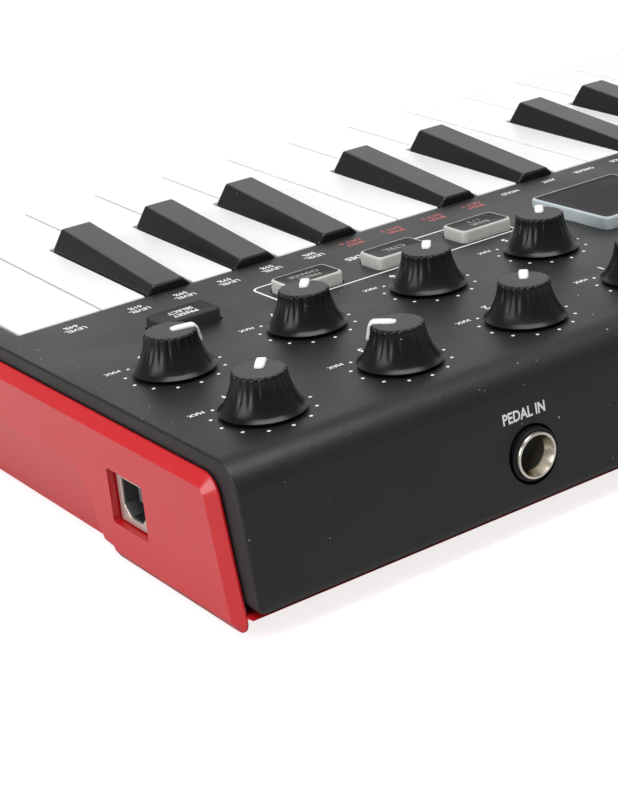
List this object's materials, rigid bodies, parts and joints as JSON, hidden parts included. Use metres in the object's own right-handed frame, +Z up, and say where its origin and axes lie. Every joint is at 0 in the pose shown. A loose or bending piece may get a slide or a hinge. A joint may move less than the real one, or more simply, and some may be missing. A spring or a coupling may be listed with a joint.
{
  "type": "midi keyboard",
  "caption": "Compact USB keyboard controller with mini keys, drum pads, rotary knobs, buttons, a thumb stick and a pedal jack.",
  "frame": {"origin": "on the surface that the feet stand on, under the middle of the case's length and depth", "axes": "+X to the player's right along the keys, +Y from the keys to the rear wall, +Z up"},
  "size_m": [0.318, 0.1756, 0.044],
  "materials": {
    "black_shell": "fine grain, satin",
    "red_shell": "glossy",
    "white_gloss": "glossy",
    "black_gloss": "glossy",
    "knob_black": "glossy skirt with a matte cap",
    "milky_silicone": "translucent, matte",
    "dark_rubber": "matte",
    "socket_metal": "plated",
    "jack_plastic": "moulded, with a plated ring at its mouth",
    "circuit_board": "solder mask",
    "grey_plastic": "moulded",
    "grey_rubber": "matte"
  },
  "bodies": {
    "case": {"top_case": "black_shell", "bottom_case": "red_shell", "key_frame": "grey_plastic", "contact_strip": "grey_rubber", "control_board": "circuit_board", "usb_socket": "socket_metal", "pedal_jack": "jack_plastic"},
    "key_c1": {"key_c1": "white_gloss"},
    "key_d1": {"key_d1": "white_gloss"},
    "key_e1": {"key_e1": "white_gloss"},
    "key_f1": {"key_f1": "white_gloss"},
    "key_g1": {"key_g1": "white_gloss"},
    "key_a1": {"key_a1": "white_gloss"},
    "key_b1": {"key_b1": "white_gloss"},
    "key_c2": {"key_c2": "white_gloss"},
    "key_d2": {"key_d2": "white_gloss"},
    "key_e2": {"key_e2": "white_gloss"},
    "key_f2": {"key_f2": "white_gloss"},
    "key_g2": {"key_g2": "white_gloss"},
    "key_a2": {"key_a2": "white_gloss"},
    "key_b2": {"key_b2": "white_gloss"},
    "key_c3": {"key_c3": "white_gloss"},
    "key_c_sharp1": {"key_c_sharp1": "black_gloss"},
    "key_d_sharp1": {"key_d_sharp1": "black_gloss"},
    "key_f_sharp1": {"key_f_sharp1": "black_gloss"},
    "key_g_sharp1": {"key_g_sharp1": "black_gloss"},
    "key_a_sharp1": {"key_a_sharp1": "black_gloss"},
    "key_c_sharp2": {"key_c_sharp2": "black_gloss"},
    "key_d_sharp2": {"key_d_sharp2": "black_gloss"},
    "key_f_sharp2": {"key_f_sharp2": "black_gloss"},
    "key_g_sharp2": {"key_g_sharp2": "black_gloss"},
    "key_a_sharp2": {"key_a_sharp2": "black_gloss"},
    "knob_1": {"knob_1": "knob_black"},
    "knob_2": {"knob_2": "knob_black"},
    "knob_3": {"knob_3": "knob_black"},
    "knob_4": {"knob_4": "knob_black"},
    "knob_5": {"knob_5": "knob_black"},
    "knob_6": {"knob_6": "knob_black"},
    "knob_7": {"knob_7": "knob_black"},
    "knob_8": {"knob_8": "knob_black"},
    "pad_1": {"pad_1": "milky_silicone"},
    "pad_2": {"pad_2": "milky_silicone"},
    "pad_3": {"pad_3": "milky_silicone"},
    "pad_4": {"pad_4": "milky_silicone"},
    "pad_5": {"pad_5": "milky_silicone"},
    "pad_6": {"pad_6": "milky_silicone"},
    "pad_7": {"pad_7": "milky_silicone"},
    "pad_8": {"pad_8": "milky_silicone"},
    "button_octave_down": {"button_octave_down": "milky_silicone"},
    "button_octave_up": {"button_octave_up": "milky_silicone"},
    "button_full_level": {"button_full_level": "milky_silicone"},
    "button_repeat": {"button_repeat": "milky_silicone"},
    "button_arpeggiator": {"button_arpeggiator": "milky_silicone"},
    "button_tap_tempo": {"button_tap_tempo": "milky_silicone"},
    "button_bank": {"button_bank": "milky_silicone"},
    "button_control": {"button_control": "milky_silicone"},
    "button_program_change": {"button_program_change": "milky_silicone"},
    "button_program_select": {"button_program_select": "dark_rubber"},
    "joystick_gimbal": {"joystick_gimbal": "grey_plastic"},
    "joystick_stick": {"joystick_stick": "dark_rubber"}
  },
  "joints": [
    {"name": "key_c1_hinge", "type": "hinge", "parent": "case", "child": "key_c1", "pos_m": [-0.1407, -0.00145, 0.0275], "axis": [1, 0, 0], "range_deg": [0, 3.6], "stiffness_Nm_per_rad": 0.3, "springref_deg": -6.88},
    {"name": "key_d1_hinge", "type": "hinge", "parent": "case", "child": "key_d1", "pos_m": [-0.1206, -0.00145, 0.0275], "axis": [1, 0, 0], "range_deg": [0, 3.6], "stiffness_Nm_per_rad": 0.3, "springref_deg": -6.88},
    {"name": "key_e1_hinge", "type": "hinge", "parent": "case", "child": "key_e1", "pos_m": [-0.1005, -0.00145, 0.0275], "axis": [1, 0, 0], "range_deg": [0, 3.6], "stiffness_Nm_per_rad": 0.3, "springref_deg": -6.88},
    {"name": "key_f1_hinge", "type": "hinge", "parent": "case", "child": "key_f1", "pos_m": [-0.0804, -0.00145, 0.0275], "axis": [1, 0, 0], "range_deg": [0, 3.6], "stiffness_Nm_per_rad": 0.3, "springref_deg": -6.88},
    {"name": "key_g1_hinge", "type": "hinge", "parent": "case", "child": "key_g1", "pos_m": [-0.0603, -0.00145, 0.0275], "axis": [1, 0, 0], "range_deg": [0, 3.6], "stiffness_Nm_per_rad": 0.3, "springref_deg": -6.88},
    {"name": "key_a1_hinge", "type": "hinge", "parent": "case", "child": "key_a1", "pos_m": [-0.0402, -0.00145, 0.0275], "axis": [1, 0, 0], "range_deg": [0, 3.6], "stiffness_Nm_per_rad": 0.3, "springref_deg": -6.88},
    {"name": "key_b1_hinge", "type": "hinge", "parent": "case", "child": "key_b1", "pos_m": [-0.0201, -0.00145, 0.0275], "axis": [1, 0, 0], "range_deg": [0, 3.6], "stiffness_Nm_per_rad": 0.3, "springref_deg": -6.88},
    {"name": "key_c2_hinge", "type": "hinge", "parent": "case", "child": "key_c2", "pos_m": [0, -0.00145, 0.0275], "axis": [1, 0, 0], "range_deg": [0, 3.6], "stiffness_Nm_per_rad": 0.3, "springref_deg": -6.88},
    {"name": "key_d2_hinge", "type": "hinge", "parent": "case", "child": "key_d2", "pos_m": [0.0201, -0.00145, 0.0275], "axis": [1, 0, 0], "range_deg": [0, 3.6], "stiffness_Nm_per_rad": 0.3, "springref_deg": -6.88},
    {"name": "key_e2_hinge", "type": "hinge", "parent": "case", "child": "key_e2", "pos_m": [0.0402, -0.00145, 0.0275], "axis": [1, 0, 0], "range_deg": [0, 3.6], "stiffness_Nm_per_rad": 0.3, "springref_deg": -6.88},
    {"name": "key_f2_hinge", "type": "hinge", "parent": "case", "child": "key_f2", "pos_m": [0.0603, -0.00145, 0.0275], "axis": [1, 0, 0], "range_deg": [0, 3.6], "stiffness_Nm_per_rad": 0.3, "springref_deg": -6.88},
    {"name": "key_g2_hinge", "type": "hinge", "parent": "case", "child": "key_g2", "pos_m": [0.0804, -0.00145, 0.0275], "axis": [1, 0, 0], "range_deg": [0, 3.6], "stiffness_Nm_per_rad": 0.3, "springref_deg": -6.88},
    {"name": "key_a2_hinge", "type": "hinge", "parent": "case", "child": "key_a2", "pos_m": [0.1005, -0.00145, 0.0275], "axis": [1, 0, 0], "range_deg": [0, 3.6], "stiffness_Nm_per_rad": 0.3, "springref_deg": -6.88},
    {"name": "key_b2_hinge", "type": "hinge", "parent": "case", "child": "key_b2", "pos_m": [0.1206, -0.00145, 0.0275], "axis": [1, 0, 0], "range_deg": [0, 3.6], "stiffness_Nm_per_rad": 0.3, "springref_deg": -6.88},
    {"name": "key_c3_hinge", "type": "hinge", "parent": "case", "child": "key_c3", "pos_m": [0.1407, -0.00145, 0.0275], "axis": [1, 0, 0], "range_deg": [0, 3.6], "stiffness_Nm_per_rad": 0.3, "springref_deg": -6.88},
    {"name": "key_c_sharp1_hinge", "type": "hinge", "parent": "case", "child": "key_c_sharp1", "pos_m": [-0.13325, -0.00145, 0.0275], "axis": [1, 0, 0], "range_deg": [0, 4.8], "stiffness_Nm_per_rad": 0.2, "springref_deg": -8.02},
    {"name": "key_d_sharp1_hinge", "type": "hinge", "parent": "case", "child": "key_d_sharp1", "pos_m": [-0.10855, -0.00145, 0.0275], "axis": [1, 0, 0], "range_deg": [0, 4.8], "stiffness_Nm_per_rad": 0.2, "springref_deg": -8.02},
    {"name": "key_f_sharp1_hinge", "type": "hinge", "parent": "case", "child": "key_f_sharp1", "pos_m": [-0.07285, -0.00145, 0.0275], "axis": [1, 0, 0], "range_deg": [0, 4.8], "stiffness_Nm_per_rad": 0.2, "springref_deg": -8.02},
    {"name": "key_g_sharp1_hinge", "type": "hinge", "parent": "case", "child": "key_g_sharp1", "pos_m": [-0.04975, -0.00145, 0.0275], "axis": [1, 0, 0], "range_deg": [0, 4.8], "stiffness_Nm_per_rad": 0.2, "springref_deg": -8.02},
    {"name": "key_a_sharp1_hinge", "type": "hinge", "parent": "case", "child": "key_a_sharp1", "pos_m": [-0.02705, -0.00145, 0.0275], "axis": [1, 0, 0], "range_deg": [0, 4.8], "stiffness_Nm_per_rad": 0.2, "springref_deg": -8.02},
    {"name": "key_c_sharp2_hinge", "type": "hinge", "parent": "case", "child": "key_c_sharp2", "pos_m": [0.00745, -0.00145, 0.0275], "axis": [1, 0, 0], "range_deg": [0, 4.8], "stiffness_Nm_per_rad": 0.2, "springref_deg": -8.02},
    {"name": "key_d_sharp2_hinge", "type": "hinge", "parent": "case", "child": "key_d_sharp2", "pos_m": [0.03215, -0.00145, 0.0275], "axis": [1, 0, 0], "range_deg": [0, 4.8], "stiffness_Nm_per_rad": 0.2, "springref_deg": -8.02},
    {"name": "key_f_sharp2_hinge", "type": "hinge", "parent": "case", "child": "key_f_sharp2", "pos_m": [0.06785, -0.00145, 0.0275], "axis": [1, 0, 0], "range_deg": [0, 4.8], "stiffness_Nm_per_rad": 0.2, "springref_deg": -8.02},
    {"name": "key_g_sharp2_hinge", "type": "hinge", "parent": "case", "child": "key_g_sharp2", "pos_m": [0.09095, -0.00145, 0.0275], "axis": [1, 0, 0], "range_deg": [0, 4.8], "stiffness_Nm_per_rad": 0.2, "springref_deg": -8.02},
    {"name": "key_a_sharp2_hinge", "type": "hinge", "parent": "case", "child": "key_a_sharp2", "pos_m": [0.11365, -0.00145, 0.0275], "axis": [1, 0, 0], "range_deg": [0, 4.8], "stiffness_Nm_per_rad": 0.2, "springref_deg": -8.02},
    {"name": "knob_1_turn", "type": "hinge", "parent": "case", "child": "knob_1", "pos_m": [0.0444, 0.0671, 0.034], "axis": [0, 0, 1], "range_deg": [-280, 0]},
    {"name": "knob_2_turn", "type": "hinge", "parent": "case", "child": "knob_2", "pos_m": [0.07585, 0.0671, 0.034], "axis": [0, 0, 1], "range_deg": [-280, 0]},
    {"name": "knob_3_turn", "type": "hinge", "parent": "case", "child": "knob_3", "pos_m": [0.1073, 0.0671, 0.034], "axis": [0, 0, 1], "range_deg": [-2, 278]},
    {"name": "knob_4_turn", "type": "hinge", "parent": "case", "child": "knob_4", "pos_m": [0.13875, 0.0671, 0.034], "axis": [0, 0, 1], "range_deg": [-280, 0]},
    {"name": "knob_5_turn", "type": "hinge", "parent": "case", "child": "knob_5", "pos_m": [0.0444, 0.03605, 0.034], "axis": [0, 0, 1], "range_deg": [-280, 0]},
    {"name": "knob_6_turn", "type": "hinge", "parent": "case", "child": "knob_6", "pos_m": [0.07585, 0.03605, 0.034], "axis": [0, 0, 1], "range_deg": [-280, 0]},
    {"name": "knob_7_turn", "type": "hinge", "parent": "case", "child": "knob_7", "pos_m": [0.1073, 0.03605, 0.034], "axis": [0, 0, 1], "range_deg": [-280, 0]},
    {"name": "knob_8_turn", "type": "hinge", "parent": "case", "child": "knob_8", "pos_m": [0.13875, 0.03605, 0.034], "axis": [0, 0, 1], "range_deg": [-218, 62]},
    {"name": "pad_1_press", "type": "slide", "parent": "case", "child": "pad_1", "axis": [0, 0, -1], "range_m": [0, 0.0008], "stiffness_N_per_m": 2000, "springref_m": -0.0003},
    {"name": "pad_2_press", "type": "slide", "parent": "case", "child": "pad_2", "axis": [0, 0, -1], "range_m": [0, 0.0008], "stiffness_N_per_m": 2000, "springref_m": -0.0003},
    {"name": "pad_3_press", "type": "slide", "parent": "case", "child": "pad_3", "axis": [0, 0, -1], "range_m": [0, 0.0008], "stiffness_N_per_m": 2000, "springref_m": -0.0003},
    {"name": "pad_4_press", "type": "slide", "parent": "case", "child": "pad_4", "axis": [0, 0, -1], "range_m": [0, 0.0008], "stiffness_N_per_m": 2000, "springref_m": -0.0003},
    {"name": "pad_5_press", "type": "slide", "parent": "case", "child": "pad_5", "axis": [0, 0, -1], "range_m": [0, 0.0008], "stiffness_N_per_m": 2000, "springref_m": -0.0003},
    {"name": "pad_6_press", "type": "slide", "parent": "case", "child": "pad_6", "axis": [0, 0, -1], "range_m": [0, 0.0008], "stiffness_N_per_m": 2000, "springref_m": -0.0003},
    {"name": "pad_7_press", "type": "slide", "parent": "case", "child": "pad_7", "axis": [0, 0, -1], "range_m": [0, 0.0008], "stiffness_N_per_m": 2000, "springref_m": -0.0003},
    {"name": "pad_8_press", "type": "slide", "parent": "case", "child": "pad_8", "axis": [0, 0, -1], "range_m": [0, 0.0008], "stiffness_N_per_m": 2000, "springref_m": -0.0003},
    {"name": "button_octave_down_press", "type": "slide", "parent": "case", "child": "button_octave_down", "axis": [0, 0, -1], "range_m": [0, 0.001], "stiffness_N_per_m": 1200, "springref_m": -0.0005},
    {"name": "button_octave_up_press", "type": "slide", "parent": "case", "child": "button_octave_up", "axis": [0, 0, -1], "range_m": [0, 0.001], "stiffness_N_per_m": 1200, "springref_m": -0.0005},
    {"name": "button_full_level_press", "type": "slide", "parent": "case", "child": "button_full_level", "axis": [0, 0, -1], "range_m": [0, 0.001], "stiffness_N_per_m": 1200, "springref_m": -0.0005},
    {"name": "button_repeat_press", "type": "slide", "parent": "case", "child": "button_repeat", "axis": [0, 0, -1], "range_m": [0, 0.001], "stiffness_N_per_m": 1200, "springref_m": -0.0005},
    {"name": "button_arpeggiator_press", "type": "slide", "parent": "case", "child": "button_arpeggiator", "axis": [0, 0, -1], "range_m": [0, 0.001], "stiffness_N_per_m": 1200, "springref_m": -0.0005},
    {"name": "button_tap_tempo_press", "type": "slide", "parent": "case", "child": "button_tap_tempo", "axis": [0, 0, -1], "range_m": [0, 0.001], "stiffness_N_per_m": 1200, "springref_m": -0.0005},
    {"name": "button_bank_press", "type": "slide", "parent": "case", "child": "button_bank", "axis": [0, 0, -1], "range_m": [0, 0.001], "stiffness_N_per_m": 1200, "springref_m": -0.0005},
    {"name": "button_control_press", "type": "slide", "parent": "case", "child": "button_control", "axis": [0, 0, -1], "range_m": [0, 0.001], "stiffness_N_per_m": 1200, "springref_m": -0.0005},
    {"name": "button_program_change_press", "type": "slide", "parent": "case", "child": "button_program_change", "axis": [0, 0, -1], "range_m": [0, 0.001], "stiffness_N_per_m": 1200, "springref_m": -0.0005},
    {"name": "button_program_select_press", "type": "slide", "parent": "case", "child": "button_program_select", "axis": [0, 0, -1], "range_m": [0, 0.001], "stiffness_N_per_m": 1200, "springref_m": -0.0005},
    {"name": "joystick_forward_back", "type": "hinge", "parent": "case", "child": "joystick_gimbal", "pos_m": [-0.1275, 0.056, 0.0232], "axis": [1, 0, 0], "range_deg": [-20, 20], "stiffness_Nm_per_rad": 0.03},
    {"name": "joystick_left_right", "type": "hinge", "parent": "joystick_gimbal", "child": "joystick_stick", "pos_m": [-0.1275, 0.056, 0.0232], "axis": [0, 1, 0], "range_deg": [-20, 20], "stiffness_Nm_per_rad": 0.03}
  ]
}
